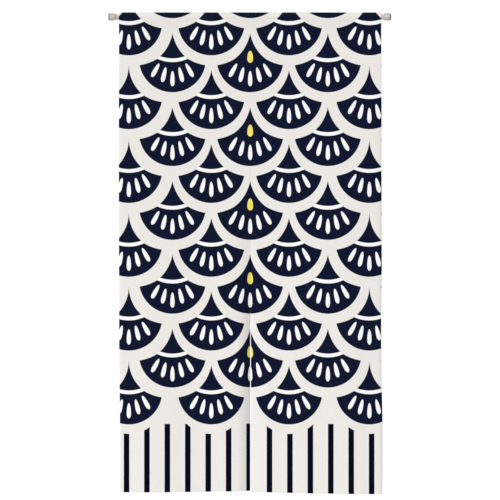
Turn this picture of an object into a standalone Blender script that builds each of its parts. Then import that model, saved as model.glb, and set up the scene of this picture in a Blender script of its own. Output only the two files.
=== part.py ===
"""A noren door curtain, slit up its middle, that hangs by its rod pocket from a tension rod.

The origin is on the rod's axis, in the middle of its left end face. X runs along the rod, Z is up
and the printed front of the cloth faces -Y. All sizes are in metres.
"""

import math

import bmesh
import bpy

# Tension rod, from end face to end face, and the caps on its ends
ROD_SPAN = 0.883
ROD_RADIUS = 0.0085
ROD_CHAMFER = 0.0008
CAP_LENGTH = 0.0225
CAP_RADIUS = 0.0119
CAP_BARREL_LENGTH = 0.0135
CAP_MOUTH_RADIUS = 0.0110
CAP_MOUTH_CHAMFER = 0.0008
CAP_ROUNDING = 0.0024
CAP_SOCKET_DEPTH = 0.0100
FIT_GAP = 0.0003
TURNED_STEPS = 32
ROUNDING_STEPS = 4
SHARP_ANGLE = math.radians(35.0)

# Cloth: one layer thick, twice that in the hems
CLOTH_DROP = 1.500
PANEL_WIDTH = 0.4085
LAYER = 0.0012
HEM_WIDTH = 0.015
BOTTOM_HEM = 0.020
HEM_STEP = 0.001
SLOPE_STEP = 0.001

# Where the cloth's upright edges stand: at the top, and at the hem
LEFT_EDGE = (0.0342, 0.0362)
RIGHT_EDGE = (0.8520, 0.8562)

# Rod pocket, measured down from the top crease
CREASE_HEIGHT = 0.0132
POCKET_SEAM = 0.055
FLAP_END = 0.060
HEM_START = 0.063
LEG_STEPS = 2
WRAP_STEPS = 4

# The slit: shut at first, then open to the hem
SLIT_TOP = 0.450
SLIT_OPENS = 0.925
SLIT_OPEN = 1.000
SLIT_MIDDLE = 0.4444
SLIT_SHUT_GAP = 0.0006
SLIT_LEFT_OPEN = 0.4425
SLIT_RIGHT_OPEN = 0.4468
SLIT_RIGHT_HEM = 0.4473

# Soft upright folds: panel, crest's distance from the panel's outer edge, how far the fold reaches
# outwards and towards the slit, how far it stands forward at the hem, and the depth it starts at
FOLDS = (
    ("left", 0.115, 0.115, 0.160, 0.0030, 0.080),
    ("left", 0.330, 0.060, 0.078, 0.0016, 0.300),
    ("right", 0.090, 0.090, 0.310, 0.0070, 0.080),
    ("right", 0.250, 0.060, 0.070, 0.0010, 0.500),
)
FOLD_GROWTH = 1.100

# Edges that turn to the back: panel, at the slit or outside, how far back, over what width, and the
# depths at which the turn starts and is full
CURLS = (
    ("left", "slit", 0.0075, 0.030, 0.450, 1.150),
    ("right", "slit", 0.0040, 0.055, 0.450, 1.050),
    ("left", "outer", 0.0006, 0.012, 0.063, 0.400),
    ("right", "outer", 0.0020, 0.014, 0.063, 0.500),
)

# The hem's height above the plain drop: distance from the left edge, and lift
HEM_LIFTS = (
    (0.000, 0.0004),
    (0.130, 0.0004),
    (0.234, 0.0016),
    (0.310, 0.0028),
    (0.405, 0.0038),
    (0.412, 0.0004),
    (0.450, 0.0008),
    (0.505, -0.0008),
    (0.570, -0.0024),
    (0.665, -0.0034),
    (0.765, -0.0052),
    (0.820, -0.0060),
)
HEM_LIFT_POWER = 6

# Columns and rows of the cloth's mesh
FIELD_SPANS = 9
CURL_COLUMNS = (0.025, 0.038, 0.058)
ROWS_ABOVE_SLIT = 8
ROWS_SHUT = 10
ROWS_OPENING = 3
ROWS_OPEN = 10

# Finishes: colour, roughness, metallic
CLOTH_FINISH = ((0.80, 0.76, 0.72), 0.90, 0.0)
ROD_FINISH = ((0.62, 0.60, 0.56), 0.40, 0.2)
CAP_FINISH = ((0.53, 0.50, 0.44), 0.55, 0.0)


def clear_scene():
    for old in list(bpy.data.objects):
        bpy.data.objects.remove(old, do_unlink=True)


def plain_material(name, finish):
    colour, roughness, metallic = finish
    material = bpy.data.materials.new(name)
    material.use_nodes = True
    shader = material.node_tree.nodes["Principled BSDF"]
    shader.inputs["Base Color"].default_value = (*colour, 1.0)
    shader.inputs["Roughness"].default_value = roughness
    shader.inputs["Metallic"].default_value = metallic
    return material


def add_object(name, bm, finish):
    """Turns the bmesh into a named object of the scene, with faces out and a material of its own."""
    bmesh.ops.recalc_face_normals(bm, faces=bm.faces)
    mesh = bpy.data.meshes.new(name)
    bm.to_mesh(mesh)
    bm.free()
    mesh.materials.append(plain_material(name + "_finish", finish))
    obj = bpy.data.objects.new(name, mesh)
    bpy.context.scene.collection.objects.link(obj)
    return obj


def turned(name, profile, finish):
    """A solid turned about the X axis from (distance along X, radius) points that end on the axis."""
    bm = bmesh.new()
    points = [bm.verts.new((along, 0.0, radius)) for along, radius in profile]
    edges = [bm.edges.new(pair) for pair in zip(points, points[1:])]
    bmesh.ops.spin(
        bm,
        geom=points + edges,
        axis=(1.0, 0.0, 0.0),
        cent=(0.0, 0.0, 0.0),
        steps=TURNED_STEPS,
        angle=2.0 * math.pi,
        use_merge=True,
    )
    bmesh.ops.remove_doubles(bm, verts=bm.verts, dist=1e-6)
    obj = add_object(name, bm, finish)
    obj.data.shade_smooth()
    obj.data.set_sharp_from_angle(angle=SHARP_ANGLE)
    return obj


def rod():
    start = CAP_LENGTH - CAP_SOCKET_DEPTH + FIT_GAP
    end = ROD_SPAN - start
    profile = (
        (start, 0.0),
        (start, ROD_RADIUS - ROD_CHAMFER),
        (start + ROD_CHAMFER, ROD_RADIUS),
        (end - ROD_CHAMFER, ROD_RADIUS),
        (end, ROD_RADIUS - ROD_CHAMFER),
        (end, 0.0),
    )
    return turned("tension_rod", profile, ROD_FINISH)


def cap_profile():
    """The cap from its end face inwards: rounded rim, barrel, mouth, and the socket for the rod."""
    profile = [(0.0, 0.0)]
    for step in range(ROUNDING_STEPS + 1):
        turn = 0.5 * math.pi * step / ROUNDING_STEPS
        along = CAP_ROUNDING * (1.0 - math.cos(turn))
        radius = CAP_RADIUS - CAP_ROUNDING * (1.0 - math.sin(turn))
        profile.append((along, radius))
    bottom = CAP_LENGTH - CAP_SOCKET_DEPTH
    bore = ROD_RADIUS + FIT_GAP
    profile += [
        (CAP_BARREL_LENGTH, CAP_RADIUS),
        (CAP_LENGTH - CAP_MOUTH_CHAMFER, CAP_MOUTH_RADIUS),
        (CAP_LENGTH, CAP_MOUTH_RADIUS - CAP_MOUTH_CHAMFER),
        (CAP_LENGTH, bore),
        (bottom, bore),
        (bottom, 0.0),
    ]
    return profile


def end_cap(name, at_right):
    profile = cap_profile()
    if at_right:
        profile = [(ROD_SPAN - along, radius) for along, radius in profile]
    return turned(name, profile, CAP_FINISH)


def ease(value, start, end):
    """0 before start, 1 after end, and a smooth step between them."""
    part = min(max((value - start) / (end - start), 0.0), 1.0)
    return part * part * (3.0 - 2.0 * part)


def between(pair, part):
    return pair[0] + (pair[1] - pair[0]) * part


def slit_edges(depth):
    """X of the left and the right panel's edge at the slit, or of the mesh lines above it."""
    shut = (SLIT_MIDDLE - SLIT_SHUT_GAP / 2, SLIT_MIDDLE + SLIT_SHUT_GAP / 2)
    open_part = ease(depth, SLIT_OPENS, SLIT_OPEN)
    hem_part = ease(depth, SLIT_OPEN, CLOTH_DROP)
    left = between((shut[0], SLIT_LEFT_OPEN), open_part)
    right = between((shut[1], between((SLIT_RIGHT_OPEN, SLIT_RIGHT_HEM), hem_part)), open_part)
    return left, right


def across(panel, distance, depth):
    """X at a distance from the panel's outer edge, measured on a panel of the plain width."""
    part = distance / PANEL_WIDTH
    slit_left, slit_right = slit_edges(depth)
    down = depth / CLOTH_DROP
    if panel == "left":
        return between((between(LEFT_EDGE, down), slit_left), part)
    return between((between(RIGHT_EDGE, down), slit_right), part)


def backward(panel, distance, depth):
    """How far behind the flat hanging plane the folds and turned edges put the front face."""
    back = 0.0
    for on, crest, outwards, inwards, forward, start in FOLDS:
        reach = outwards if distance < crest else inwards
        near = abs(distance - crest) / reach
        if on == panel and near < 1.0:
            swell = math.cos(0.5 * math.pi * near) ** 2
            back -= forward * swell * ease(depth, start, FOLD_GROWTH)
    for on, side, turn, width, start, full in CURLS:
        from_edge = distance if side == "outer" else PANEL_WIDTH - distance
        if on == panel and from_edge < width:
            back += turn * (1.0 - from_edge / width) ** 2 * ease(depth, start, full)
    return back


def hem_lift(x):
    """Height of the uneven hem over the plain drop, straight between the table's rows."""
    place = x - LEFT_EDGE[1]
    if place <= HEM_LIFTS[0][0]:
        return HEM_LIFTS[0][1]
    for (near, low), (far, high) in zip(HEM_LIFTS, HEM_LIFTS[1:]):
        if place <= far:
            return between((low, high), (place - near) / (far - near))
    return HEM_LIFTS[-1][1]


def top_of_cloth():
    """Height of the crease's outer edge: half a layer, mitred, above the crease's middle line."""
    wrap_radius = ROD_RADIUS + FIT_GAP + LAYER / 2
    return CREASE_HEIGHT + LAYER / 2 * CREASE_HEIGHT / wrap_radius


def front_point(panel, distance, depth):
    x = across(panel, distance, depth)
    fall = (depth / CLOTH_DROP) ** HEM_LIFT_POWER
    z = top_of_cloth() - depth + hem_lift(x) * fall
    return x, -LAYER + backward(panel, distance, depth), z


def is_hem(distance, depth):
    at_side = distance < HEM_WIDTH or distance > PANEL_WIDTH - HEM_WIDTH
    below_slit_top = distance < HEM_WIDTH or depth > SLIT_TOP
    at_bottom = depth > CLOTH_DROP - BOTTOM_HEM
    return depth >= HEM_START and (at_side and below_slit_top or at_bottom)


def back_point(panel, distance, depth):
    """The front point moved in by the cloth's thickness, square to the folded surface."""
    x, y, z = front_point(panel, distance, depth)
    near = max(distance - SLOPE_STEP, 0.0)
    far = min(distance + SLOPE_STEP, PANEL_WIDTH)
    run = across(panel, far, depth) - across(panel, near, depth)
    slope = (backward(panel, far, depth) - backward(panel, near, depth)) / run
    thickness = 2.0 * LAYER if is_hem(distance, depth) else LAYER
    reach = thickness / math.hypot(1.0, slope)
    return x - slope * reach, y + reach, z


def pocket_middle_line():
    """Points (y, z) and outward normals of half the pocket, from the seam up to the crease."""
    radius = ROD_RADIUS + FIT_GAP + LAYER / 2
    seam_z = top_of_cloth() - POCKET_SEAM
    leg_turn = math.acos(radius / -seam_z) - 0.5 * math.pi
    crease_turn = 0.5 * math.pi - math.acos(radius / CREASE_HEIGHT)
    tangent = (radius * math.cos(leg_turn), radius * math.sin(leg_turn))
    normal = (math.cos(leg_turn), math.sin(leg_turn))
    line = []
    for step in range(1, LEG_STEPS):
        part = step / LEG_STEPS
        point = (between((LAYER / 2, tangent[0]), part), between((seam_z, tangent[1]), part))
        line.append((point, normal))
    for step in range(WRAP_STEPS + 1):
        turn = between((leg_turn, crease_turn), step / WRAP_STEPS)
        direction = (math.cos(turn), math.sin(turn))
        line.append(((radius * direction[0], radius * direction[1]), direction))
    return line


def pocket_section():
    """Outer and inner points (y, z) of the pocket: front seam, over the crease, back seam."""
    seam_z = top_of_cloth() - POCKET_SEAM
    half = LAYER / 2
    outer = [(-LAYER, seam_z)]
    inner = [(0.0, seam_z)]
    line = pocket_middle_line()
    for (y, z), (out_y, out_z) in line:
        outer.append((-y - half * out_y, z + half * out_z))
        inner.append((-y + half * out_y, z - half * out_z))
    outer.append((0.0, top_of_cloth()))
    inner.append((0.0, 2.0 * CREASE_HEIGHT - top_of_cloth()))
    for (y, z), (out_y, out_z) in reversed(line):
        outer.append((y + half * out_y, z + half * out_z))
        inner.append((y - half * out_y, z - half * out_z))
    outer.append((LAYER, seam_z))
    return outer, inner


def cloth_columns():
    """(panel, distance from the panel's outer edge), from the left edge to the right edge."""
    outer = [0.0, HEM_WIDTH / 2, HEM_WIDTH - HEM_STEP / 2, HEM_WIDTH + HEM_STEP / 2]
    slit = [PANEL_WIDTH - inward for inward in reversed((*outer, *CURL_COLUMNS))]
    field = [between((outer[-1], slit[0]), n / FIELD_SPANS) for n in range(1, FIELD_SPANS)]
    distances = outer + field + slit
    left = [("left", distance) for distance in distances]
    right = [("right", distance) for distance in reversed(distances)]
    return left + right


def spread(start, end, count):
    """The ends of count equal steps after start."""
    return [between((start, end), n / count) for n in range(1, count + 1)]


def cloth_rows():
    """Depths below the top crease of the mesh's rows, from the end of the pocket's flap down."""
    hem_line = CLOTH_DROP - BOTTOM_HEM
    rows = [FLAP_END, HEM_START]
    rows += spread(HEM_START, SLIT_TOP, ROWS_ABOVE_SLIT)
    rows += [SLIT_TOP + HEM_STEP]
    rows += spread(SLIT_TOP + HEM_STEP, SLIT_OPENS, ROWS_SHUT)
    rows += spread(SLIT_OPENS, SLIT_OPEN, ROWS_OPENING)
    rows += spread(SLIT_OPEN, hem_line - HEM_STEP / 2, ROWS_OPEN)
    return rows + [hem_line + HEM_STEP / 2, CLOTH_DROP]


def column_points(panel, distance, rows):
    """Every point of the cross-section at one column, by the name that the cells use for it."""
    outer, inner = pocket_section()
    points = {}
    for n, (y, z) in enumerate(outer):
        points["outer", n] = (across(panel, distance, top_of_cloth() - z), y, z)
    for n, (y, z) in enumerate(inner):
        points["inner", n] = (across(panel, distance, top_of_cloth() - z), y, z)
    for n, depth in enumerate(rows):
        points["front", n] = front_point(panel, distance, depth)
        points["back", n] = back_point(panel, distance, depth)
    x, y, z = points["front", 0]
    points["flap", 0] = (x, y + 2.0 * LAYER, z)
    return points


def section_cells(rows):
    """The cross-section's four-sided cells, each with the depth of its upper side."""
    turns = len(pocket_section()[0]) - 1
    cells = []
    for n in range(turns):
        # the front and the back layer share the seam's inner point
        far = ("inner", (n + 1) % turns)
        cells.append((0.0, (("outer", n), ("outer", n + 1), far, ("inner", n))))
    front_seam = (("front", 0), ("outer", 0), ("inner", 0), ("back", 0))
    back_seam = (("back", 0), ("inner", 0), ("outer", turns), ("flap", 0))
    cells += [(POCKET_SEAM, front_seam), (POCKET_SEAM, back_seam)]
    for n in range(len(rows) - 1):
        below = (("front", n + 1), ("front", n), ("back", n), ("back", n + 1))
        cells.append((rows[n], below))
    return cells


def toggle(faces, face):
    """Keeps a face met once, and drops it when a second cell shares it."""
    key = frozenset(face)
    if key in faces:
        del faces[key]
    else:
        faces[key] = face


def cloth_skin(columns, cells):
    """The faces that bound the cells swept from column to column, with the slit left open."""
    faces = {}
    for left in range(len(columns) - 1):
        right = left + 1
        at_slit = columns[left][0] != columns[right][0]
        for depth, corners in cells:
            if at_slit and depth >= SLIT_TOP:
                continue
            toggle(faces, tuple((left, corner) for corner in corners))
            toggle(faces, tuple((right, corner) for corner in reversed(corners)))
            for here, there in zip(corners, corners[1:] + corners[:1]):
                side = ((right, here), (right, there), (left, there), (left, here))
                toggle(faces, side)
    return faces.values()


def cloth():
    columns = cloth_columns()
    rows = cloth_rows()
    sections = [column_points(panel, distance, rows) for panel, distance in columns]
    bm = bmesh.new()
    verts = {}
    for face in cloth_skin(columns, section_cells(rows)):
        for column, corner in face:
            if (column, corner) not in verts:
                verts[column, corner] = bm.verts.new(sections[column][corner])
        bm.faces.new([verts[key] for key in face])
    obj = add_object("noren_cloth", bm, CLOTH_FINISH)
    obj.data.shade_smooth()
    obj.data.set_sharp_from_angle(angle=SHARP_ANGLE)
    return obj


clear_scene()
rod()
end_cap("end_cap_left", False)
end_cap("end_cap_right", True)
cloth()
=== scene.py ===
"""Looks of a noren door curtain on a tension rod: printed cloth, hems, stitching, rod and end caps.

Metres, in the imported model's own frame: the origin is in the middle of the left end cap's flat
face, X runs along the rod, Z is up, and the printed front of the cloth faces -Y. Depths run down
from the cloth's top crease.
"""

import math

import bmesh
import bpy
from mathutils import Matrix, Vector


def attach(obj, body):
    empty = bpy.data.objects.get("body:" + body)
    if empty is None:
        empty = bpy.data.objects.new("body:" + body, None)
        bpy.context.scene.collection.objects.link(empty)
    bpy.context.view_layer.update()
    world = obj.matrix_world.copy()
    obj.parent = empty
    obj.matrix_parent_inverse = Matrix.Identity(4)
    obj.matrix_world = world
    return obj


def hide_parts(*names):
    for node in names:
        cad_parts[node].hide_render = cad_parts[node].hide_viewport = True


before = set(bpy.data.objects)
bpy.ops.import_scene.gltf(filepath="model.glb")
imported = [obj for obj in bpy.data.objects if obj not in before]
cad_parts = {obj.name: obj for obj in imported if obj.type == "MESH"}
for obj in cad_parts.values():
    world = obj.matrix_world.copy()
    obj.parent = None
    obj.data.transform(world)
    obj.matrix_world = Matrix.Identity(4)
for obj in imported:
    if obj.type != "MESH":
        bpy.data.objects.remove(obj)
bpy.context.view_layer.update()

# Sizes that the construction script also holds. The left edge is the plain solid's, at the top and
# at the hem.
ROD_SPAN = 0.883
ROD_RADIUS = 0.0085
CAP_LENGTH = 0.0225
CAP_RADIUS = 0.0119
CAP_SOCKET_DEPTH = 0.0100
FIT_GAP = 0.0003
CLOTH_DROP = 1.500
PANEL_WIDTH = 0.4085
LAYER = 0.0012
HEM_WIDTH = 0.015
BOTTOM_HEM = 0.020
LEFT_EDGE = (0.0342, 0.0362)
CREASE_HEIGHT = 0.0132
POCKET_SEAM = 0.055
FLAP_END = 0.060
SLIT_TOP = 0.450
SLIT_OPENS = 0.925
SLIT_OPEN = 1.000
SLIT_MIDDLE = 0.4444

# Y of the cloth's front layer where it hangs flat
HANGING_Y = -0.0009

# The end caps: the rubber pad's length and round rim, how far the pad and the groove behind it lie
# under the widest radius, and the same for places along the barrel
CAP_PAD = 0.0040
CAP_RIM = 0.0030
CAP_PAD_UNDER = 0.0010
CAP_GROOVE_UNDER = 0.0017
CAP_BARREL = ((0.0090, 0.0), (0.0125, 0.0003), (0.0165, 0.0009), (0.0185, 0.0010))
ROD_CHAMFER = 0.0005
TURNED_STEPS = 96
SHARP_ANGLE = 40.0

# Soft upright folds: panel, crest's distance from the panel's outer edge, how far the fold reaches
# outwards and towards the slit, how far it stands forward at the hem, and the depth it starts at.
# The right panel's wide fold is up to 3 mm flatter than on the plain solid.
FOLDS = (
    ("left", 0.115, 0.115, 0.160, 0.0030, 0.080),
    ("left", 0.330, 0.060, 0.078, 0.0016, 0.300),
    ("right", 0.110, 0.110, 0.290, 0.0042, 0.080),
    ("right", 0.250, 0.060, 0.070, 0.0010, 0.500),
)
FOLD_GROWTH = 1.100

# Edges that turn to the back, the left panel's at the slit a few millimetres more than on the plain
# solid: panel, at the slit or outside, how far back, over what width, and the depths at which the
# turn starts and is full
CURLS = (
    ("left", "slit", 0.0120, 0.042, 0.450, 1.150),
    ("right", "slit", 0.0040, 0.055, 0.450, 1.050),
    ("left", "outer", 0.0006, 0.012, 0.063, 0.400),
    ("right", "outer", 0.0020, 0.014, 0.063, 0.500),
)

# X of the cloth's two sides at depths below the crease, with their small waves
LEFT_SIDE = (
    (0.00, 0.0334),
    (0.12, 0.0334),
    (0.28, 0.0328),
    (0.60, 0.0328),
    (0.80, 0.0334),
    (1.02, 0.0338),
    (1.17, 0.0351),
    (1.25, 0.0362),
    (1.50, 0.0362),
)
RIGHT_SIDE = (
    (0.00, 0.8519),
    (0.10, 0.8527),
    (0.29, 0.8536),
    (0.50, 0.8534),
    (0.74, 0.8543),
    (0.80, 0.8544),
    (0.90, 0.8530),
    (1.00, 0.8523),
    (1.06, 0.8528),
    (1.15, 0.8538),
    (1.20, 0.8551),
    (1.27, 0.8565),
    (1.42, 0.8566),
    (1.50, 0.8560),
)

# The slit's folded edges: the distance between their middle lines at two depths where they touch,
# and where they hang open. The open gap is about 2 mm narrower than the plain solid's.
SLIT_TOUCH = ((0.450, 0.00050), (0.925, 0.00022))
SLIT_LEFT_OPEN = 0.4430
SLIT_RIGHT_OPEN = 0.4455

# The hem's height above the plain drop: distance from the left edge, and lift
HEM_LIFTS = (
    (0.000, 0.0004),
    (0.130, 0.0004),
    (0.234, 0.0016),
    (0.310, 0.0028),
    (0.405, 0.0038),
    (0.412, 0.0004),
    (0.450, 0.0008),
    (0.505, -0.0008),
    (0.570, -0.0024),
    (0.665, -0.0034),
    (0.765, -0.0052),
    (0.820, -0.0060),
)
HEM_LIFT_POWER = 6

# The real cloth's thickness, the distance between two of its layers in a hem, and the width beside
# a hem over which a layer turned over it settles
CLOTH_THICK = 0.0005
LAYER_PITCH = 0.0007
HEM_SETTLE = 0.006

# Fineness of the cloth's mesh: its columns stand closer beside the sides and the slit, and its
# rows in the flap and the bottom hem
COLUMN_STEP = 0.0060
FINE_COLUMN_STEP = 0.0025
FINE_BESIDE_SIDE = 0.018
FINE_BESIDE_SLIT = 0.060
HEM_COLUMN_STEP = 0.004
ROW_STEP = 0.0080
FLAP_ROW_STEP = 0.002
HEM_ROWS = (0.005, 0.010, 0.015)
ROOF_PARTS = (0.12, 0.5)
FOLD_STEPS = 4
WRAP_STEPS = 10
LEG_STEPS = 5

# Blind hems: stitches along and across the turned edge on the back, tiny pricks on the front
STITCH_PITCH = 0.0034
STITCH_LENGTH = 0.0027
OVERCAST_PITCH = 0.0026
OVERCAST_LENGTH = 0.0022
PRICK_PITCH = 0.0102
PRICK_LENGTH = 0.0005
OVERCAST_INSET = 0.0022
OVERCAST_TURN = 74.0
THREAD_RADIUS = 0.00016
SEAM_STEP = 0.006
SIDE_SEAM_IN = 0.0128
SIDE_SEAM_TOP = 0.064
BOTTOM_SEAM_UP = 0.0178
POCKET_SEAM_IN = 0.0022
POCKET_SEAM_END = 0.002

# How far a stitch's middle lies over the cloth, in thread radii: the pricks on the front are sunk
PROUD_AT_BACK = 0.4
PROUD_AT_FRONT = -0.5

# The print, measured on the cloth: a fish-scale repeat of fans, arcs and drops over a border of
# upright stripes. Depths run down from the top crease, heights up from the bottom of a scale's fan.
ROW_PITCH = 0.1153
FIRST_FAN_BOTTOM = 0.0184
COLUMN_PITCH = 0.2427
MIDDLE_COLUMN = 0.4088
BLANK_BEYOND = 0.36
SCALE_RADIUS = 0.1234
SCALE_CENTRE = 0.0906
FAN_RADIUS = 0.1041
FAN_CENTRE = 0.1039
PEAK_RING_RADIUS = 0.1219
PEAK_RING_CENTRE = 0.2006
FAN_RING_RADIUS = 0.1406
FAN_RING_CENTRE = 0.2230
ARC_RADIUS = 0.1141
ARC_TOP_CENTRE = 0.2198
ARC_LOW_CENTRE = 0.2069
LAST_ROW = 11
OUTER_COLUMN_LEFT = 0.10
OUTER_COLUMN_RIGHT = 0.72
OUTER_SHIFT_LEFT = 0.0150
OUTER_SHIFT_RIGHT = 0.0084

# Drops in a fan point at a focus above it. Each has a long and a short end about its widest place.
DROP_FOCUS = 0.1634
DROPS = ((0.0, 0.1312), (13.6, 0.1219), (29.1, 0.1188))
DROP_LONG = 0.0340
DROP_SHORT = 0.0148
DROP_HALF = 0.0074
YELLOW_WIDEST = 0.1031
YELLOW_LONG = 0.0258
YELLOW_SHORT = 0.0122
YELLOW_HALF = 0.0093

STRIPE_START = 1.2864
STRIPE_FIRST = 0.0226
STRIPE_PITCH = 0.0638
STRIPE_HALF = 0.0080
STRIPE_RING_RADIUS = 0.1100
STRIPE_RING_CENTRE = 0.0790

# The right panel's slit hem takes in the rest of the stripe that the left panel's edge shows: the
# print is moved beside the slit, over a width, and from a little above the stripes. Past the right
# side of the cloth, fans of the even rows reach it with their tips only.
BORDER_SLIT_SHIFT = 0.0036
BORDER_SHIFT_WIDTH = 0.030
BORDER_SHIFT_ABOVE = 0.060
EDGE_FAN_COLUMN = 0.9201

# How far the ink spreads past the drawn line, the width of its soft edge, and how far and how
# finely the yarns fray it
INK_SPREAD = 0.0007
INK_EDGE = 0.0009
FRAY = 0.0008
FRAY_SCALE = 900.0

# The weave: distance between threads, how far and how often they sway, how fine the light and dark
# streaks of uneven yarn are across and along the yarns, and how strong the streaks and how large
# and strong the soft clouds of tone are
THREAD_PITCH = 0.00075
THREAD_SWAY = 0.0006
SWAY_SCALE = 40.0
STREAK_SCALE = 700.0
WARP_STREAK_SCALE = 9.0
WEFT_STREAK_SCALE = 7.0
STREAK_TONE = 0.16
CLOUD_SCALE = 9.0
CLOUD_TONE = 0.025

# Colours, as linear values. Two in a row are the ends of a mottled tone, and the shares say how
# strongly the print shows through on the reverse.
GROUND = (0.832, 0.803, 0.770)
WHITE = (0.950, 0.950, 0.938)
NAVY = (0.0045, 0.0080, 0.0270)
STRIPE_NAVY = (0.0008, 0.0020, 0.0130)
YELLOW = (0.890, 0.765, 0.145)
REVERSE_GROUND = (0.775, 0.740, 0.705)
REVERSE_NAVY = (0.150, 0.170, 0.220)
REVERSE_NAVY_SHARE = 0.92
REVERSE_YELLOW_SHARE = 0.45
THREAD = ((0.66, 0.62, 0.56), (0.740, 0.700, 0.640))
ENAMEL = ((0.56, 0.53, 0.49), (0.64, 0.61, 0.57))
BARREL = ((0.54, 0.50, 0.44), (0.60, 0.56, 0.50))
# Dark grey of the caps' end pads: partly the rubber's own colour, partly painted shade for the
# rounded rim that turns away from the light
PAD_AND_RIM_SHADE = ((0.19, 0.187, 0.18), (0.24, 0.236, 0.226))
FLOOR = ((0.80, 0.795, 0.785), (0.83, 0.825, 0.815))

# Camera: the width that the photograph's square frame spans at the cloth, the frame's centre, and
# the camera's distance
PHOTO_SPAN = 1.5625
PHOTO_CENTRE_X = 0.4425
PHOTO_CENTRE_DEPTH = 0.7427
CAMERA_DISTANCE = 6.0
SENSOR = 36.0

# The floor lies this far under the rod and reaches this far from the curtain's middle
FLOOR_DROP = 1.95
FLOOR_HALF = 2.1

# Light: how strongly the white surroundings light the pieces and how bright they look themselves,
# and each soft light's name, strength, spread in degrees and direction
SURROUND_LIGHT = 0.485
SURROUND_LOOK = 1.05
LIGHTS = (
    ("key_light", 2.15, 24.0, (0.72, 0.68, -0.16)),
    ("top_light", 0.45, 60.0, (0.0, 0.1, -1.0)),
    ("back_light", 0.90, 40.0, (-0.40, -0.85, -0.12)),
)


def ease(value, start, end):
    """0 before start, 1 after end, and a smooth step between them."""
    part = min(max((value - start) / (end - start), 0.0), 1.0)
    return part * part * (3.0 - 2.0 * part)


def between(pair, part):
    """The number that lies a part of the way from the pair's first number to its second."""
    return pair[0] + (pair[1] - pair[0]) * part


def read_table(table, place):
    """The value at a place, straight between the table's rows of place and value."""
    if place <= table[0][0]:
        return table[0][1]
    for (near, low), (far, high) in zip(table, table[1:]):
        if place <= far:
            return between((low, high), (place - near) / (far - near))
    return table[-1][1]


def slit_edges(depth):
    """X of the left and the right panel's edge at the slit, or of the mesh lines above it."""
    open_part = ease(depth, SLIT_OPENS, SLIT_OPEN)
    touch = read_table(SLIT_TOUCH, depth) / 2
    left = between((SLIT_MIDDLE - touch, SLIT_LEFT_OPEN), open_part)
    right = between((SLIT_MIDDLE + touch, SLIT_RIGHT_OPEN), open_part)
    return left, right


def across(panel, distance, depth):
    """X at a distance from the panel's outer edge, measured on a panel of the plain width."""
    part = distance / PANEL_WIDTH
    slit_left, slit_right = slit_edges(depth)
    if panel == "left":
        return between((read_table(LEFT_SIDE, depth), slit_left), part)
    return between((read_table(RIGHT_SIDE, depth), slit_right), part)


def backward(panel, distance, depth):
    """How far behind the flat hanging plane the folds and turned edges put the cloth."""
    back = 0.0
    for on, crest, outwards, inwards, forward, start in FOLDS:
        reach = outwards if distance < crest else inwards
        near = abs(distance - crest) / reach
        if on == panel and near < 1.0:
            swell = math.cos(0.5 * math.pi * near) ** 2
            back -= forward * swell * ease(depth, start, FOLD_GROWTH)
    for on, side, turn, width, start, full in CURLS:
        from_edge = distance if side == "outer" else PANEL_WIDTH - distance
        if on == panel and from_edge < width:
            back += turn * (1.0 - from_edge / width) ** 2 * ease(depth, start, full)
    return back


def hem_lift(x):
    """Height of the uneven hem over the plain drop, straight between the table's rows."""
    return read_table(HEM_LIFTS, x - LEFT_EDGE[1])


def top_of_cloth():
    wrap_radius = ROD_RADIUS + FIT_GAP + LAYER / 2
    return CREASE_HEIGHT + LAYER / 2 * CREASE_HEIGHT / wrap_radius


TOP = top_of_cloth()


def hanging_point(panel, distance, depth, behind):
    """A point of the single sheet under the pocket, moved to its back by a layer's offset."""
    x = across(panel, distance, depth)
    step = 0.001
    near = max(distance - step, 0.0)
    far = min(distance + step, PANEL_WIDTH)
    run = across(panel, far, depth) - across(panel, near, depth)
    slope = (backward(panel, far, depth) - backward(panel, near, depth)) / run
    reach = behind / math.hypot(1.0, slope)
    fall = (depth / CLOTH_DROP) ** HEM_LIFT_POWER
    z = TOP - depth + hem_lift(x) * fall
    return x - slope * reach, HANGING_Y + backward(panel, distance, depth) + reach, z


class Column:
    """One upright line of the cloth's mesh.

    distance is measured from the panel's outer edge, behind is how far the line lies behind the
    main layer, kind is main, outer for the outer hem's turned part or slit for the slit's, and over
    is how far the line's print lies past the edge.
    """

    def __init__(self, panel, distance, behind, kind, over):
        self.panel = panel
        self.distance = distance
        self.behind = behind
        self.kind = kind
        self.over = over


def steps_between(start, end, step):
    """Inner points of an even division of start to end, near the given step."""
    count = max(1, round(abs(end - start) / step))
    return [between((start, end), n / count) for n in range(1, count)]


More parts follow.
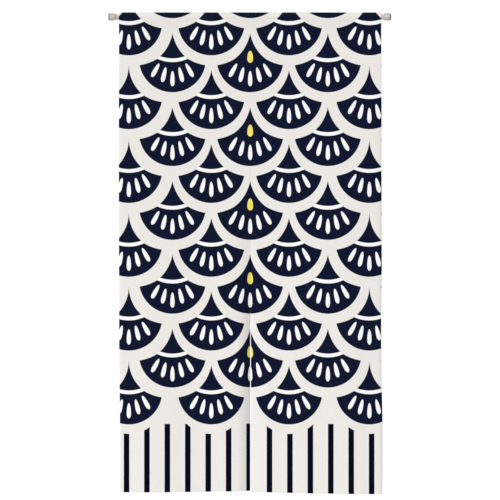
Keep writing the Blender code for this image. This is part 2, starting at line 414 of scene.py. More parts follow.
def panel_columns(panel):
    """A panel's columns from the inner end of its outer hem to the inner end of its slit hem."""
    radius = LAYER_PITCH / 2
    columns = []
    for inward in (HEM_WIDTH, *steps_between(HEM_WIDTH, radius, HEM_COLUMN_STEP)):
        columns.append(Column(panel, inward, LAYER_PITCH, "outer", inward))
    for n in range(FOLD_STEPS + 1):
        turn = math.pi * (1.0 - n / FOLD_STEPS)
        inward = radius * (1.0 - math.sin(turn))
        behind = radius * (1.0 - math.cos(turn))
        kind = "outer" if n < FOLD_STEPS else "main"
        columns.append(Column(panel, inward, behind, kind, radius * turn / 2))
    marks = (radius, FINE_BESIDE_SIDE, PANEL_WIDTH - FINE_BESIDE_SLIT, PANEL_WIDTH - radius)
    fineness = (FINE_COLUMN_STEP, COLUMN_STEP, FINE_COLUMN_STEP)
    for start, end, step in zip(marks, marks[1:], fineness):
        for inward in (*steps_between(start, end, step), end):
            columns.append(Column(panel, inward, 0.0, "main", 0.0))
    for n in range(1, FOLD_STEPS + 1):
        turn = math.pi * n / FOLD_STEPS
        inward = PANEL_WIDTH - radius * (1.0 - math.sin(turn))
        behind = radius * (1.0 - math.cos(turn))
        columns.append(Column(panel, inward, behind, "slit", radius * turn / 2))
    for inward in (*steps_between(radius, HEM_WIDTH, HEM_COLUMN_STEP), HEM_WIDTH):
        columns.append(Column(panel, PANEL_WIDTH - inward, LAYER_PITCH, "slit", inward))
    return columns


def all_columns():
    """Columns of both panels, from the left panel's outer hem to the right panel's outer hem."""
    return panel_columns("left") + list(reversed(panel_columns("right")))


def stack_height(from_edge):
    """Distance from the main layer to the layer turned over it, at a distance from a hemmed edge:
    beside that edge the turned layer lies over the upright hem too."""
    on_hem = 1.0 - ease(from_edge, HEM_WIDTH, HEM_WIDTH + HEM_SETTLE)
    return LAYER_PITCH * (1.0 + 2.0 * on_hem)


def print_across(column, x, depth):
    """Where the point lies on the print, from the cloth's left edge at the top."""
    shift = -LEFT_EDGE[0]
    if column.panel == "right":
        near_slit = ease(column.distance, PANEL_WIDTH - BORDER_SHIFT_WIDTH, PANEL_WIDTH)
        in_border = ease(depth, STRIPE_START - BORDER_SHIFT_ABOVE, STRIPE_START)
        shift += BORDER_SLIT_SHIFT * near_slit * in_border
    if column.over == 0.0:
        return x + shift
    slit_left, slit_right = slit_edges(depth)
    edge = {
        ("left", "outer"): read_table(LEFT_SIDE, depth),
        ("left", "slit"): slit_left,
        ("right", "slit"): slit_right,
        ("right", "outer"): read_table(RIGHT_SIDE, depth),
    }[column.panel, column.kind if column.kind != "main" else "outer"]
    outward = 1.0 if (column.panel == "left") == (column.kind == "slit") else -1.0
    return edge + outward * column.over + shift


def pocket_path():
    """The pocket's main layer as (y, z, out y, out z, way from the crease) on the front side.

    The way is measured along the cloth. The back side is its mirror image up to the seam.
    """
    radius = ROD_RADIUS + FIT_GAP + LAYER - CLOTH_THICK / 2
    crease = TOP * radius / (radius + CLOTH_THICK / 2)
    seam_z = TOP - POCKET_SEAM
    leg_turn = math.acos(radius / -seam_z) - 0.5 * math.pi
    crease_turn = 0.5 * math.pi - math.acos(radius / crease)
    tangent = (radius * math.cos(crease_turn), radius * math.sin(crease_turn))
    roof = math.hypot(tangent[0], crease - tangent[1])
    # the top crease is a trace lower than where the two slopes meet, so it isn't quite sharp
    path = [(0.0, crease - 0.0001, 0.0, 1.0, 0.0)]
    for part in ROOF_PARTS:
        y = -tangent[0] * part
        z = between((crease, tangent[1]), part)
        path.append((y, z, -math.cos(crease_turn), math.sin(crease_turn), roof * part))
    for n in range(WRAP_STEPS + 1):
        turn = between((crease_turn, leg_turn), n / WRAP_STEPS)
        way = roof + radius * (crease_turn - turn)
        out_y, out_z = -math.cos(turn), math.sin(turn)
        path.append((radius * out_y, radius * out_z, out_y, out_z, way))
    low_y, low_z, out_y, out_z, wrapped = path[-1]
    leg = math.hypot(low_y - HANGING_Y, low_z - seam_z)
    for n in range(1, LEG_STEPS):
        part = n / LEG_STEPS
        y = between((low_y, HANGING_Y), part)
        z = between((low_z, seam_z), part)
        path.append((y, z, out_y, out_z, wrapped + leg * part))
    return path, wrapped + leg


POCKET_PATH, POCKET_WAY = pocket_path()


def pocket_vertex(column, station, at_back):
    """A point of the pocket around the rod: the turned side hem lies on the inside."""
    y, z, out_y, out_z, way = station
    side = -1.0 if at_back else 1.0
    depth = TOP - z
    x = across(column.panel, column.distance, depth)
    settle = 0.0
    if at_back:
        # the back leg runs out at the stack's height behind the main layer, not at its mirror image
        sunk = ease(-z, 0.0, POCKET_SEAM - TOP)
        settle = (HANGING_Y * 2.0 + stack_height(column.distance)) * sunk
    inside = column.behind
    point = (x, side * (y - out_y * inside) + settle, z - out_z * inside)
    return point, (print_across(column, x, depth), -way if at_back else depth)


def cloth_rows():
    """The mesh's rows as functions of a column, from the flap's lower end behind the pocket, over
    the rod, down the front, round the hem and up to the end of the hem's turned part."""
    rows = []

    def add(kind, value):
        rows.append((kind, value))

    for depth in (FLAP_END, *steps_between(FLAP_END, POCKET_SEAM, FLAP_ROW_STEP), POCKET_SEAM):
        add("flap", depth)
    for station in reversed(POCKET_PATH[1:]):
        add("pocket back", station)
    for station in POCKET_PATH:
        add("pocket front", station)
    for depth in (POCKET_SEAM, *steps_between(POCKET_SEAM, SLIT_TOP, ROW_STEP), SLIT_TOP):
        add("hanging", depth)
    last = CLOTH_DROP - BOTTOM_HEM
    for start, end in ((SLIT_TOP, SLIT_OPENS), (SLIT_OPENS, SLIT_OPEN), (SLIT_OPEN, last)):
        for depth in (*steps_between(start, end, ROW_STEP), end):
            add("hanging", depth)
    for up in reversed(HEM_ROWS):
        add("hanging", CLOTH_DROP - up)
    for n in range(FOLD_STEPS + 1):
        add("hem fold", math.pi * n / FOLD_STEPS)
    for up in (*HEM_ROWS, BOTTOM_HEM):
        add("hem flap", up)
    return rows


def cloth_vertex(column, kind, value):
    """Place and print coordinates of the mesh point where a column meets a row."""
    if kind in ("pocket back", "pocket front"):
        return pocket_vertex(column, value, kind == "pocket back")
    if kind == "flap":
        behind = stack_height(column.distance) - column.behind
        point = hanging_point(column.panel, column.distance, value, behind)
        way = -(POCKET_WAY + value - POCKET_SEAM)
        return point, (print_across(column, point[0], value), way)
    height = stack_height(min(column.distance, PANEL_WIDTH - column.distance))
    if kind == "hanging":
        depth, behind, past = value, column.behind, 0.0
    elif kind == "hem fold":
        radius = height / 2 - column.behind
        depth = CLOTH_DROP - height / 2 + radius * math.sin(value)
        behind = height / 2 - radius * math.cos(value)
        past = height / 2 * value / 2
    else:
        depth, behind, past = CLOTH_DROP - value, height - column.behind, value
    point = hanging_point(column.panel, column.distance, depth, behind)
    way = CLOTH_DROP - hem_lift(point[0]) + past if past else TOP - point[2]
    return point, (print_across(column, point[0], depth), way)


def is_joined(column, other, kind, value, next_kind):
    """Whether the mesh has a face between two neighbouring columns and rows."""
    below_slit_top = kind in ("hem fold", "hem flap") or kind == "hanging" and value >= SLIT_TOP
    if next_kind == "hanging" and kind != "hanging":
        below_slit_top = False
    if column.panel != other.panel:
        return False
    if "slit" in (column.kind, other.kind):
        return below_slit_top
    return True


def cloth_mesh():
    columns = all_columns()
    rows = cloth_rows()
    bm = bmesh.new()
    layer = bm.loops.layers.uv.new("Print")
    verts = {}

    def vertex(column, row):
        if (column, row) not in verts:
            point, place = cloth_vertex(columns[column], *rows[row])
            verts[column, row] = (bm.verts.new(point), place)
        return verts[column, row]

    main = [n for n, column in enumerate(columns) if column.kind == "main"]
    left_edge = max(n for n in main if columns[n].panel == "left")
    right_edge = min(n for n in main if columns[n].panel == "right")
    pairs = [(n, n + 1) for n in range(len(columns) - 1)]
    for row in range(len(rows) - 1):
        spot = (*rows[row], rows[row + 1][0])
        above_slit = not is_joined(columns[left_edge], columns[left_edge + 1], *spot)
        for left, right in pairs:
            if not is_joined(columns[left], columns[right], *spot):
                continue
            add_cloth_face(bm, layer, vertex, left, right, row)
        if above_slit:
            add_cloth_face(bm, layer, vertex, left_edge, right_edge, row)
    mesh = bpy.data.meshes.new("curtain_cloth")
    bm.to_mesh(mesh)
    bm.free()
    mesh.shade_smooth()
    return mesh


def add_cloth_face(bm, layer, vertex, left, right, row):
    corners = [vertex(left, row), vertex(left, row + 1), vertex(right, row + 1), vertex(right, row)]
    face = bm.faces.new([corner[0] for corner in corners])
    for loop, corner in zip(face.loops, corners):
        loop[layer].uv = corner[1]


class Wire:
    """A number worked out inside a material, so that a print can be written as plain arithmetic."""

    def __init__(self, tree, socket):
        self.tree = tree
        self.socket = socket

    def to(self, operation, *others, clamp=False):
        """The result of a Math node that takes this number first and then the others."""
        node = self.tree.nodes.new("ShaderNodeMath")
        node.operation = operation
        node.use_clamp = clamp
        for place, value in zip(node.inputs, (self, *others)):
            if isinstance(value, Wire):
                self.tree.links.new(value.socket, place)
            else:
                place.default_value = value
        return Wire(self.tree, node.outputs[0])

    def __add__(self, other):
        return self.to("ADD", other)

    def __sub__(self, other):
        return self.to("SUBTRACT", other)

    def __mul__(self, other):
        return self.to("MULTIPLY", other)

    def __truediv__(self, other):
        return self.to("DIVIDE", other)

    def size(self):
        return self.to("ABSOLUTE")

    def opposite(self):
        """1 less the number, which turns a mask round."""
        return self * -1.0 + 1.0

    def nearest(self, step):
        """Distance to the nearest multiple of step."""
        return self.to("WRAP", step / 2, -step / 2)


def length(a, b):
    return (a * a + b * b).to("SQRT")


def inside(distance, edge=INK_EDGE):
    """1 where a signed distance is inside, 0 outside, and a short ramp at the edge."""
    return (distance * (-1.0 / edge)).to("ADD", 0.5, clamp=True)


def choose(mask, yes, no):
    """yes where the mask is 1 and no where it is 0."""
    return mask * (yes - no) + no


def egg_distance(along, aside, long, short, half):
    """Signed distance, near the outline, to a shape of two half ellipses of one width: the long
    one lies where along is below 0, and the short one where it is above."""
    is_short = along.to("GREATER_THAN", 0.0)
    scaled = along * choose(is_short, 1.0 / short, 1.0 / long)
    steep = scaled * choose(is_short, 1.0 / short, 1.0 / long)
    reach = length(scaled, aside / half)
    return reach * (reach - 1.0) / length(steep, aside / half ** 2)


def drop_distance(x, below, turn, widest):
    """Signed distance to a drop that points at the focus: below is the point's depth under it."""
    angle = math.radians(turn)
    along = below * math.cos(angle) + x * math.sin(angle)
    aside = x * math.cos(angle) - below * math.sin(angle)
    return egg_distance(along - widest, aside, DROP_LONG, DROP_SHORT, DROP_HALF)


def outer_shift(column, odd):
    """How far a scale's figures are moved sideways: the odd rows' outermost ones are."""
    left = column.to("LESS_THAN", OUTER_COLUMN_LEFT) * odd * OUTER_SHIFT_LEFT
    return left - column.to("GREATER_THAN", OUTER_COLUMN_RIGHT) * odd * OUTER_SHIFT_RIGHT


def stripe_print(u, v):
    """Mask of the border's stripes, cut off round the last row's scales."""
    from_stripe = (u - STRIPE_FIRST).nearest(STRIPE_PITCH).size() - STRIPE_HALF
    x = (u - MIDDLE_COLUMN - COLUMN_PITCH / 2).nearest(COLUMN_PITCH)
    x = x + outer_shift(u - x, 1.0)
    up = v * -1.0 + (FIRST_FAN_BOTTOM + LAST_ROW * ROW_PITCH)
    from_ring = length(x, up - STRIPE_RING_CENTRE) * -1.0 + STRIPE_RING_RADIUS
    from_start = v * -1.0 + STRIPE_START
    return inside(from_stripe.to("MAXIMUM", from_ring).to("MAXIMUM", from_start) - INK_SPREAD)


def edge_tips(u, v):
    """Mask of the fan tips at the cloth's right side, one in each even row."""
    pair = ((v - FIRST_FAN_BOTTOM) / (2.0 * ROW_PITCH)).to("CEIL")
    up = (pair * (2.0 * ROW_PITCH)) + FIRST_FAN_BOTTOM - v
    x = (u - EDGE_FAN_COLUMN).size()
    fan = length(x, up - FAN_CENTRE) - FAN_RADIUS
    under_ring = length(x - COLUMN_PITCH / 2, up - FAN_RING_CENTRE) * -1.0 + FAN_RING_RADIUS
    return inside(fan.to("MAXIMUM", under_ring) - INK_SPREAD) * pair.to("LESS_THAN", LAST_ROW / 2)


def find_scale(u, v):
    """The scale that a place on the cloth lies in: the place's distance from its middle line and
    height over its fan's bottom, and its row."""
    ring_bottom = FIRST_FAN_BOTTOM + SCALE_RADIUS - SCALE_CENTRE
    row = ((v - ring_bottom) / ROW_PITCH).to("CEIL")
    height = (row * ROW_PITCH) + FIRST_FAN_BOTTOM - v
    odd = row.to("FLOORED_MODULO", 2.0)
    from_middle = u - MIDDLE_COLUMN
    upper_x = (from_middle - odd * (COLUMN_PITCH / 2)).nearest(COLUMN_PITCH)
    lower_x = (from_middle - odd.opposite() * (COLUMN_PITCH / 2)).nearest(COLUMN_PITCH)
    in_upper = (length(upper_x, height - SCALE_CENTRE) - SCALE_RADIUS).to("LESS_THAN", 0.0)
    blank = (from_middle - upper_x).size().to("GREATER_THAN", BLANK_BEYOND) * odd.opposite()
    in_upper = in_upper * blank.opposite()
    x = choose(in_upper, upper_x, lower_x)
    up = choose(in_upper, height, height + ROW_PITCH)
    return x, up, choose(in_upper, row, row + 1.0)


def fan_and_peak(x, up, in_middle):
    """Masks of a scale's navy fan and peak, and of the white arc between them. In the middle column
    the fan and the peak join without an arc."""
    aside = x - COLUMN_PITCH / 2
    disc = length(x, up - FAN_CENTRE) - FAN_RADIUS
    under_ring = length(aside, up - FAN_RING_CENTRE) * -1.0 + FAN_RING_RADIUS
    under_arc = length(x, up - ARC_LOW_CENTRE) * -1.0 + ARC_RADIUS
    beside_ring = length(aside, up - PEAK_RING_CENTRE) * -1.0 + PEAK_RING_RADIUS
    over_arc = length(x, up - ARC_TOP_CENTRE) - ARC_RADIUS
    fan = disc.to("MAXIMUM", under_ring)
    peak = beside_ring.to("MAXIMUM", over_arc)
    plain = fan.to("MAXIMUM", under_arc).to("MINIMUM", peak)
    joined = beside_ring.to("MAXIMUM", disc).to("MINIMUM", fan)
    navy = inside(choose(in_middle, joined, plain) - INK_SPREAD)
    arc = disc.to("LESS_THAN", 0.0) * navy.opposite() * in_middle.opposite()
    arc = arc * inside(beside_ring) * inside(over_arc * -1.0) * inside(under_arc * -1.0)
    return navy, arc


def scale_drops(x, up, in_middle):
    """Masks of the drops in a fan, and of the middle column's yellow drop over them."""
    below = up * -1.0 + DROP_FOCUS
    nearest_drop = None
    for turn, widest in DROPS:
        distance = drop_distance(x, below, turn, widest)
        nearest_drop = distance if nearest_drop is None else nearest_drop.to("MINIMUM", distance)
    yellow_along = up * -1.0 + YELLOW_WIDEST
    yellow = egg_distance(yellow_along, x, YELLOW_LONG, YELLOW_SHORT, YELLOW_HALF)
    return inside(nearest_drop + INK_SPREAD), inside(yellow + INK_SPREAD / 2) * in_middle


def scale_print(u, v):
    """Masks of the navy, the white and the yellow of the print at a place on the cloth."""
    x, up, row = find_scale(u, v)
    column = u - x
    from_middle = (column - MIDDLE_COLUMN).size()
    odd = row.to("FLOORED_MODULO", 2.0).to("GREATER_THAN", 0.5)
    beyond = from_middle.to("GREATER_THAN", BLANK_BEYOND) * odd.opposite()
    printed = row.to("LESS_THAN", LAST_ROW + 0.5) * beyond.opposite()
    in_middle = from_middle.to("LESS_THAN", COLUMN_PITCH / 2) * odd.opposite()
    x = (x + outer_shift(column, odd)).size()
    navy, arc = fan_and_peak(x, up, in_middle)
    drops, yellow = scale_drops(x, up, in_middle)
    drops = drops * printed
    navy = navy * printed * drops.opposite()
    navy = navy.to("MAXIMUM", stripe_print(u, v)).to("MAXIMUM", edge_tips(u, v))
    return navy, (arc * printed).to("MAXIMUM", drops), yellow * printed


class Finish:
    """A new node material with a Principled shader, and short ways to add to it."""

    def __init__(self, name):
        self.material = bpy.data.materials.new(name)
        self.material.use_nodes = True
        self.tree = self.material.node_tree
        self.shader = self.tree.nodes["Principled BSDF"]

    def node(self, kind, **settings):
        node = self.tree.nodes.new(kind)
        for name, value in settings.items():
            setattr(node, name, value)
        return node

    def link(self, source, target):
        self.tree.links.new(source, target)

    def feed(self, node, name, value):
        """Links a Wire or a socket to a node's input, or sets it to a plain value."""
        if isinstance(value, Wire):
            value = value.socket
        if isinstance(value, bpy.types.NodeSocket):
            self.link(value, node.inputs[name])
        else:
            node.inputs[name].default_value = value

    def print_place(self):
        """The cloth's own measure: metres across and down the print."""
        uv = self.node("ShaderNodeUVMap", uv_map="Print")
        split = self.node("ShaderNodeSeparateXYZ")
        self.link(uv.outputs["UV"], split.inputs[0])
        return Wire(self.tree, split.outputs["X"]), Wire(self.tree, split.outputs["Y"])

    def at(self, x, y, z=0.0):
        node = self.node("ShaderNodeCombineXYZ")
        for name, value in zip("XYZ", (x, y, z)):
            self.feed(node, name, value)
        return node.outputs[0]

    def object_place(self):
        place = self.node("ShaderNodeTexCoord")
        return place.outputs["Object"]

    def noise(self, place, scale, detail=2.0, roughness=0.5):
        node = self.node("ShaderNodeTexNoise")
        self.feed(node, "Vector", place)
        node.inputs["Scale"].default_value = scale
        node.inputs["Detail"].default_value = detail
        node.inputs["Roughness"].default_value = roughness
        return Wire(self.tree, node.outputs["Fac"])

    def mix(self, factor, first, second):
        """A mix of two colours, each a socket or three plain numbers."""
        node = self.node("ShaderNodeMix", data_type="RGBA")
        self.feed(node, "Factor", factor)
        for place, colour in ((6, first), (7, second)):
            if isinstance(colour, bpy.types.NodeSocket):
                self.link(colour, node.inputs[place])
            else:
                node.inputs[place].default_value = (*colour, 1.0)
        return node.outputs[2]

    def scaled(self, colour, factor):
        """A colour made lighter or darker by a number."""
        node = self.node("ShaderNodeVectorMath", operation="SCALE")
        self.link(colour, node.inputs[0])
        self.feed(node, "Scale", factor)
        return node.outputs[0]

    def bump(self, height, distance):
        node = self.node("ShaderNodeBump")
        self.feed(node, "Height", height)
        node.inputs["Distance"].default_value = distance
        node.inputs["Strength"].default_value = 1.0
        self.link(node.outputs["Normal"], self.shader.inputs["Normal"])

    def surface(self, roughness, specular):
        self.shader.inputs["Roughness"].default_value = roughness
        self.shader.inputs["Specular IOR Level"].default_value = specular


def weave(finish, u, v):
    """Height of a plain weave of uneven yarns, 0 to 1, and the yarns' light and dark streaks."""
    turn = 2.0 * math.pi
    sway = finish.noise(finish.at(u * SWAY_SCALE, v * SWAY_SCALE), 1.0) * THREAD_SWAY
    warp = ((u + sway) * (turn / THREAD_PITCH)).to("SINE")
    weft = ((v + sway) * (turn / THREAD_PITCH)).to("SINE")
    height = (warp * weft) * 0.25 + 0.5
    warp_place = finish.at(u * STREAK_SCALE, v * WARP_STREAK_SCALE)
    weft_place = finish.at(u * WEFT_STREAK_SCALE, v * STREAK_SCALE)
    warp_streak = finish.noise(warp_place, 1.0, detail=3.0, roughness=0.6)
    weft_streak = finish.noise(weft_place, 1.0, detail=3.0, roughness=0.6)
    return height, (warp_streak + weft_streak) * 0.5


def cloth_material(name, reverse):
    """The printed face of the cloth, or its paler reverse with the print showing through."""
    finish = Finish(name)
    u, v = finish.print_place()
    height, streak = weave(finish, u, v)
    fray = (finish.noise(finish.at(u, v), FRAY_SCALE, detail=1.0) - 0.5) * FRAY
    navy, light, yellow = scale_print(u + fray, v + fray)
    if reverse:
        colour = finish.mix(navy * REVERSE_NAVY_SHARE, REVERSE_GROUND, REVERSE_NAVY)
        colour = finish.mix(yellow * REVERSE_YELLOW_SHARE, colour, YELLOW)
    else:
        colour = finish.mix(light, GROUND, WHITE)
        in_border = inside(v * -1.0 + STRIPE_START)
        colour = finish.mix(navy, colour, finish.mix(in_border, NAVY, STRIPE_NAVY))
        colour = finish.mix(yellow, colour, YELLOW)
    tone = (streak - 0.5) * STREAK_TONE + 1.0
    cloud = (finish.noise(finish.at(u, v), CLOUD_SCALE, detail=3.0) - 0.5) * CLOUD_TONE
    colour = finish.scaled(colour, tone + cloud)
    finish.link(colour, finish.shader.inputs["Base Color"])
    finish.bump(height * 0.6 + streak * 0.8, distance=0.00012)
    finish.surface(roughness=0.92, specular=0.05)
    return finish.material


def thread_material():
    finish = Finish("sewing_thread")
    place = finish.object_place()
    twist = finish.noise(place, 2600.0, detail=1.0)
    finish.link(finish.mix(twist, *THREAD), finish.shader.inputs["Base Color"])
    finish.bump(twist, distance=0.00008)
    finish.surface(roughness=0.7, specular=0.25)
    return finish.material


def enamel_material():
    """Warm grey stove enamel: faint orange peel and a few rubbed streaks along the tube."""
    finish = Finish("rod_enamel")
    place = finish.object_place()
    peel = finish.noise(place, 900.0)
    stretch = finish.node("ShaderNodeMapping")
    stretch.inputs["Scale"].default_value = (12.0, 260.0, 260.0)
    finish.link(place, stretch.inputs["Vector"])
    rub = finish.noise(stretch.outputs["Vector"], 1.0, detail=4.0, roughness=0.6)
    finish.link(finish.mix(rub, *ENAMEL), finish.shader.inputs["Base Color"])
    rough = rub * 0.16 + 0.30
    finish.link(rough.socket, finish.shader.inputs["Roughness"])
    finish.bump(peel, distance=0.00006)
    return finish.material


def cap_material():
    """Warm grey moulded plastic with a darker grey rubber pad on its end; the pad's dark grey is
    partly painted shade, standing in for the shade on the cap's rounded end rim.
    """
    finish = Finish("cap_plastic")
    place = finish.object_place()
    split = finish.node("ShaderNodeSeparateXYZ")
    finish.link(place, split.inputs[0])
    x = Wire(finish.tree, split.outputs["X"])
    from_end = (x - ROD_SPAN / 2).size() * -1.0 + ROD_SPAN / 2
    # mask of the end pad, coloured a darker grey that is partly rubber and partly painted shade of
    # the rim
    pad_and_rim_shade = inside(from_end - CAP_PAD, edge=0.0004)
    mottle = finish.noise(place, 420.0, detail=3.0)
    colour = finish.mix(pad_and_rim_shade, finish.mix(mottle, *BARREL), finish.mix(mottle, *PAD_AND_RIM_SHADE))
    finish.link(colour, finish.shader.inputs["Base Color"])
    rough = mottle * 0.15 + 0.45
    finish.link(rough.socket, finish.shader.inputs["Roughness"])
    finish.bump(finish.noise(place, 1800.0), distance=0.00008)
    return finish.material


def floor_material():
    finish = Finish("pale_floor")
    place = finish.object_place()
    cloud = finish.noise(place, 1.5, detail=4.0)
    finish.link(finish.mix(cloud, *FLOOR), finish.shader.inputs["Base Color"])
    finish.shader.inputs["Roughness"].default_value = 0.85
    return finish.material


def link_object(name, mesh, *materials):
    obj = bpy.data.objects.new(name, mesh)
    bpy.context.scene.collection.objects.link(obj)
    for material in materials:
        mesh.materials.append(material)
    return obj


def turned_mesh(name, profile):
    """A closed shape turned about the X axis from (distance along X, radius) points."""
    bm = bmesh.new()
    points = [bm.verts.new((along, 0.0, radius)) for along, radius in profile]
    edges = [bm.edges.new(pair) for pair in zip(points, points[1:])]
    bmesh.ops.spin(
        bm,
        geom=points + edges,
        axis=(1.0, 0.0, 0.0),
        cent=(0.0, 0.0, 0.0),
        steps=TURNED_STEPS,
        angle=2.0 * math.pi,
        use_merge=True,
    )
    bmesh.ops.remove_doubles(bm, verts=bm.verts, dist=1e-6)
    bmesh.ops.recalc_face_normals(bm, faces=bm.faces)
    mesh = bpy.data.meshes.new(name)
    bm.to_mesh(mesh)
    bm.free()
    mesh.shade_smooth()
    mesh.set_sharp_from_angle(angle=math.radians(SHARP_ANGLE))
    return mesh


def rounded(corner_along, corner_radius, size, start_turn, end_turn, steps=5):
    """Points of a round rim about a centre, from one angle to another in degrees."""
    points = []
    for n in range(steps + 1):
        turn = math.radians(between((start_turn, end_turn), n / steps))
        points.append((corner_along + size * math.cos(turn), corner_radius + size * math.sin(turn)))
    return points


def cap_outline():
    """Half section of an end cap: pad with a round rim, groove, barrel, lip and rod socket."""
    bottom = CAP_LENGTH - CAP_SOCKET_DEPTH
    bore = ROD_RADIUS + FIT_GAP
    groove = CAP_RADIUS - CAP_GROOVE_UNDER
    outline = [(0.0, 0.0), (0.0, 0.0040)]
    outline += rounded(CAP_RIM, CAP_RADIUS - CAP_PAD_UNDER - CAP_RIM, CAP_RIM, 180.0, 98.0)
    outline += [(CAP_PAD, CAP_RADIUS - 0.0012), (CAP_PAD, groove), (CAP_PAD + 0.0005, groove)]
    outline += rounded(CAP_PAD + 0.0015, CAP_RADIUS - 0.0010, 0.0010, 170.0, 92.0, 4)
    outline += [(along, CAP_RADIUS - under) for along, under in CAP_BARREL]
    outline += rounded(CAP_LENGTH - 0.0016, CAP_RADIUS - 0.0022, 0.0012, 100.0, 0.0)
    outline += [(CAP_LENGTH - 0.0004, bore + 0.0006), (CAP_LENGTH - 0.0008, bore)]
    outline += [(bottom, bore), (bottom, 0.0)]
    return outline


def end_cap(name, node, at_right, material):
    outline = cap_outline()
    if at_right:
        outline = [(ROD_SPAN - along, radius) for along, radius in outline]
    cap = link_object(name, turned_mesh(name, outline), material)
    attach(cap, "root")
    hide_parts(node)


def rod_tube(material):
    start = CAP_LENGTH - CAP_SOCKET_DEPTH + FIT_GAP
    end = ROD_SPAN - start
    profile = [(start, 0.0)]
    profile += [(start, ROD_RADIUS - ROD_CHAMFER), (start + ROD_CHAMFER, ROD_RADIUS)]
    profile += [(end - ROD_CHAMFER, ROD_RADIUS), (end, ROD_RADIUS - ROD_CHAMFER), (end, 0.0)]
    tube = link_object("rod_tube", turned_mesh("rod_tube", profile), material)
    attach(tube, "root")
    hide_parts("tension_rod")
    return tube


def curtain_cloth():
    face = cloth_material("printed_face", False)
    reverse = cloth_material("cloth_reverse", True)
    cloth = link_object("curtain_cloth", cloth_mesh(), face, reverse)
    thicken = cloth.modifiers.new("Thickness", "SOLIDIFY")
    thicken.thickness = CLOTH_THICK
    thicken.offset = 0.0
    thicken.material_offset = 1
    thicken.material_offset_rim = 1
    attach(cloth, "root")
    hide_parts("noren_cloth")
    return cloth


def seam_paths(at_back, inset):
    """Lines of stitches on one side of the cloth, each a list of points at its surface.

    inset moves the lines from their usual place towards the turned edge of each hem.
    """
    proud = CLOTH_THICK / 2 + THREAD_RADIUS * (PROUD_AT_BACK if at_back else PROUD_AT_FRONT)
    paths = []

    def point(panel, distance, depth, layers):
        behind = layers * LAYER_PITCH + proud if at_back else -proud
        return hanging_point(panel, distance, depth, behind)

    bottom = CLOTH_DROP - BOTTOM_SEAM_UP - inset
    for panel in ("left", "right"):
        depths = (SIDE_SEAM_TOP, *steps_between(SIDE_SEAM_TOP, bottom, SEAM_STEP), bottom)
        paths.append([point(panel, SIDE_SEAM_IN + inset, depth, 1) for depth in depths])
        slit = PANEL_WIDTH - SIDE_SEAM_IN - inset
        depths = (SLIT_TOP, *steps_between(SLIT_TOP, bottom, SEAM_STEP), bottom)
        paths.append([point(panel, slit, depth, 1) for depth in depths])
        spots = (HEM_WIDTH, *steps_between(HEM_WIDTH, PANEL_WIDTH - HEM_WIDTH, SEAM_STEP))
        paths.append([point(panel, spot, bottom, 1) for spot in spots])
    pocket = []
    seam_depth = POCKET_SEAM + POCKET_SEAM_IN + inset
    reach = (POCKET_SEAM_END, PANEL_WIDTH)
    for panel, (start, end) in (("left", reach), ("right", reach[::-1])):
        for spot in (start, *steps_between(start, end, SEAM_STEP)):
            layers = stack_height(spot) / LAYER_PITCH
            pocket.append(point(panel, spot, seam_depth, layers))
    paths.append(pocket)
    return paths


def stitch_tree(material):
    """Geometry Nodes: lays one small thread loop at each pitch along the seams' lines."""
    tree = bpy.data.node_groups.new("row_of_stitches", "GeometryNodeTree")
    panel = tree.interface
    panel.new_socket("Geometry", in_out="INPUT", socket_type="NodeSocketGeometry")
    for name in ("Pitch", "Stitch length", "Thread radius", "Turn"):
        panel.new_socket(name, in_out="INPUT", socket_type="NodeSocketFloat")
    panel.new_socket("Geometry", in_out="OUTPUT", socket_type="NodeSocketGeometry")

    def node(kind, **settings):
        made = tree.nodes.new(kind)
        for name, value in settings.items():
            setattr(made, name, value)
        return made

    def link(source, target):
        tree.links.new(source, target)

    given = node("NodeGroupInput")
    result = node("NodeGroupOutput")
    spaced = node("GeometryNodeResampleCurve", mode="LENGTH")
    link(given.outputs["Geometry"], spaced.inputs["Curve"])
    link(given.outputs["Pitch"], spaced.inputs["Length"])
    tangent = node("GeometryNodeInputTangent")
    along = node("FunctionNodeAlignRotationToVector", axis="X")
    link(tangent.outputs[0], along.inputs["Vector"])
    across_seam = node("FunctionNodeAxisAngleToRotation")
    across_seam.inputs["Axis"].default_value = (0.0, 1.0, 0.0)
    link(given.outputs["Turn"], across_seam.inputs["Angle"])
    turn = node("FunctionNodeRotateRotation", rotation_space="GLOBAL")
    link(along.outputs["Rotation"], turn.inputs["Rotation"])
    link(across_seam.outputs["Rotation"], turn.inputs["Rotate By"])
    loop = node("GeometryNodeMeshIcoSphere")
    loop.inputs["Radius"].default_value = 1.0
    loop.inputs["Subdivisions"].default_value = 1
    half = node("ShaderNodeMath", operation="MULTIPLY")
    link(given.outputs["Stitch length"], half.inputs[0])
    half.inputs[1].default_value = 0.5
    size = node("ShaderNodeCombineXYZ")
    link(half.outputs[0], size.inputs["X"])
    link(given.outputs["Thread radius"], size.inputs["Y"])
    link(given.outputs["Thread radius"], size.inputs["Z"])
    laid = node("GeometryNodeInstanceOnPoints")
    link(spaced.outputs["Curve"], laid.inputs["Points"])
    link(loop.outputs["Mesh"], laid.inputs["Instance"])
    link(turn.outputs["Rotation"], laid.inputs["Rotation"])
    link(size.outputs[0], laid.inputs["Scale"])
    real = node("GeometryNodeRealizeInstances")
    link(laid.outputs["Instances"], real.inputs["Geometry"])
    finish = node("GeometryNodeSetMaterial")
    finish.inputs["Material"].default_value = material
    link(real.outputs["Geometry"], finish.inputs["Geometry"])
    link(finish.outputs["Geometry"], result.inputs["Geometry"])
    return tree


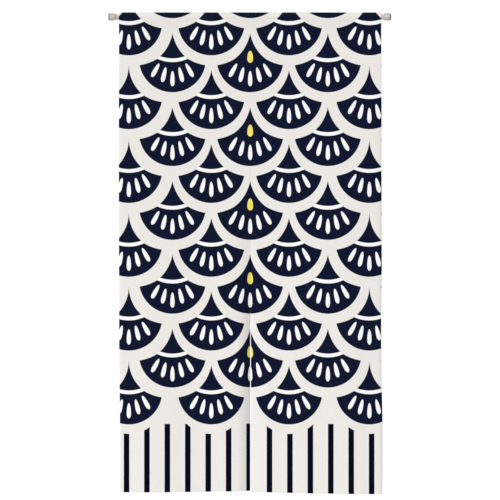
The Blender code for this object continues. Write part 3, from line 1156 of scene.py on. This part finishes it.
def stitching(name, paths, tree, material, pitch, stitch_length, turn=0.0):
    """One object of all stitches along the paths, as a plain mesh."""
    lines = bpy.data.curves.new(name + "_lines", "CURVE")
    lines.dimensions = "3D"
    for path in paths:
        spline = lines.splines.new("POLY")
        spline.points.add(len(path) - 1)
        for point, place in zip(spline.points, path):
            point.co = (*place, 1.0)
    guide = bpy.data.objects.new(name + "_guide", lines)
    bpy.context.scene.collection.objects.link(guide)
    modifier = guide.modifiers.new("Stitches", "NODES")
    modifier.node_group = tree
    values = {
        "Pitch": pitch,
        "Stitch length": stitch_length,
        "Thread radius": THREAD_RADIUS,
        "Turn": turn,
    }
    for item in tree.interface.items_tree:
        if item.in_out == "INPUT" and item.name in values:
            modifier[item.identifier] = values[item.name]
    evaluated = guide.evaluated_get(bpy.context.evaluated_depsgraph_get())
    mesh = bpy.data.meshes.new_from_object(evaluated)
    mesh.name = name
    mesh.materials.clear()
    guide.modifiers.remove(modifier)
    bpy.data.objects.remove(guide)
    obj = link_object(name, mesh, material)
    mesh.shade_smooth()
    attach(obj, "root")
    return obj


def pale_floor():
    bm = bmesh.new()
    bmesh.ops.create_grid(bm, x_segments=2, y_segments=2, size=FLOOR_HALF)
    mesh = bpy.data.meshes.new("pale_floor")
    bmesh.ops.translate(bm, verts=bm.verts, vec=(ROD_SPAN / 2, 0.0, -FLOOR_DROP))
    bm.to_mesh(mesh)
    bm.free()
    link_object("pale_floor", mesh, floor_material())


def soft_light(name, energy, spread, aim):
    """A large far light with soft shadows, shining along aim."""
    data = bpy.data.lights.new(name, "SUN")
    data.energy = energy
    data.angle = math.radians(spread)
    lamp = bpy.data.objects.new(name, data)
    lamp.rotation_mode = "QUATERNION"
    lamp.rotation_quaternion = Vector(aim).to_track_quat("-Z", "Y")
    bpy.context.scene.collection.objects.link(lamp)


def studio():
    """Even white surroundings, a large soft light from the left and front, and weaker ones from
    above and behind."""
    scene = bpy.context.scene
    world = bpy.data.worlds.new("white_studio")
    world.use_nodes = True
    tree = world.node_tree
    background = tree.nodes["Background"]
    background.inputs["Color"].default_value = (1.0, 1.0, 1.0, 1.0)
    background.inputs["Strength"].default_value = SURROUND_LIGHT
    seen = tree.nodes.new("ShaderNodeBackground")
    seen.inputs["Color"].default_value = (1.0, 1.0, 1.0, 1.0)
    seen.inputs["Strength"].default_value = SURROUND_LOOK
    ray = tree.nodes.new("ShaderNodeLightPath")
    mix = tree.nodes.new("ShaderNodeMixShader")
    tree.links.new(ray.outputs["Is Camera Ray"], mix.inputs["Fac"])
    tree.links.new(background.outputs[0], mix.inputs[1])
    tree.links.new(seen.outputs[0], mix.inputs[2])
    tree.links.new(mix.outputs[0], tree.nodes["World Output"].inputs["Surface"])
    scene.world = world
    for name, energy, spread, aim in LIGHTS:
        soft_light(name, energy, spread, aim)
    scene.view_settings.view_transform = "Standard"
    scene.view_settings.look = "None"


def camera():
    lens = bpy.data.cameras.new("photo_camera")
    lens.sensor_width = SENSOR
    lens.lens = SENSOR * CAMERA_DISTANCE / PHOTO_SPAN
    seat = bpy.data.objects.new("photo_camera", lens)
    seat.location = (PHOTO_CENTRE_X, -CAMERA_DISTANCE, TOP - PHOTO_CENTRE_DEPTH)
    seat.rotation_euler = (math.pi / 2, 0.0, 0.0)
    bpy.context.scene.collection.objects.link(seat)
    bpy.context.scene.camera = seat


camera()
studio()
pale_floor()
cloth = curtain_cloth()
thread = thread_material()
stitches = stitch_tree(thread)
front_pricks = stitching(
    "front_pricks", seam_paths(False, 0.0), stitches, thread, PRICK_PITCH, PRICK_LENGTH
)
back_stitching = stitching(
    "back_stitching", seam_paths(True, 0.0), stitches, thread, STITCH_PITCH, STITCH_LENGTH
)
overcasting = stitching(
    "overcasting",
    seam_paths(True, OVERCAST_INSET),
    stitches,
    thread,
    OVERCAST_PITCH,
    OVERCAST_LENGTH,
    turn=math.radians(OVERCAST_TURN),
)
tube = rod_tube(enamel_material())
plastic = cap_material()
end_cap("cap_left", "end_cap_left", False, plastic)
end_cap("cap_right", "end_cap_right", True, plastic)
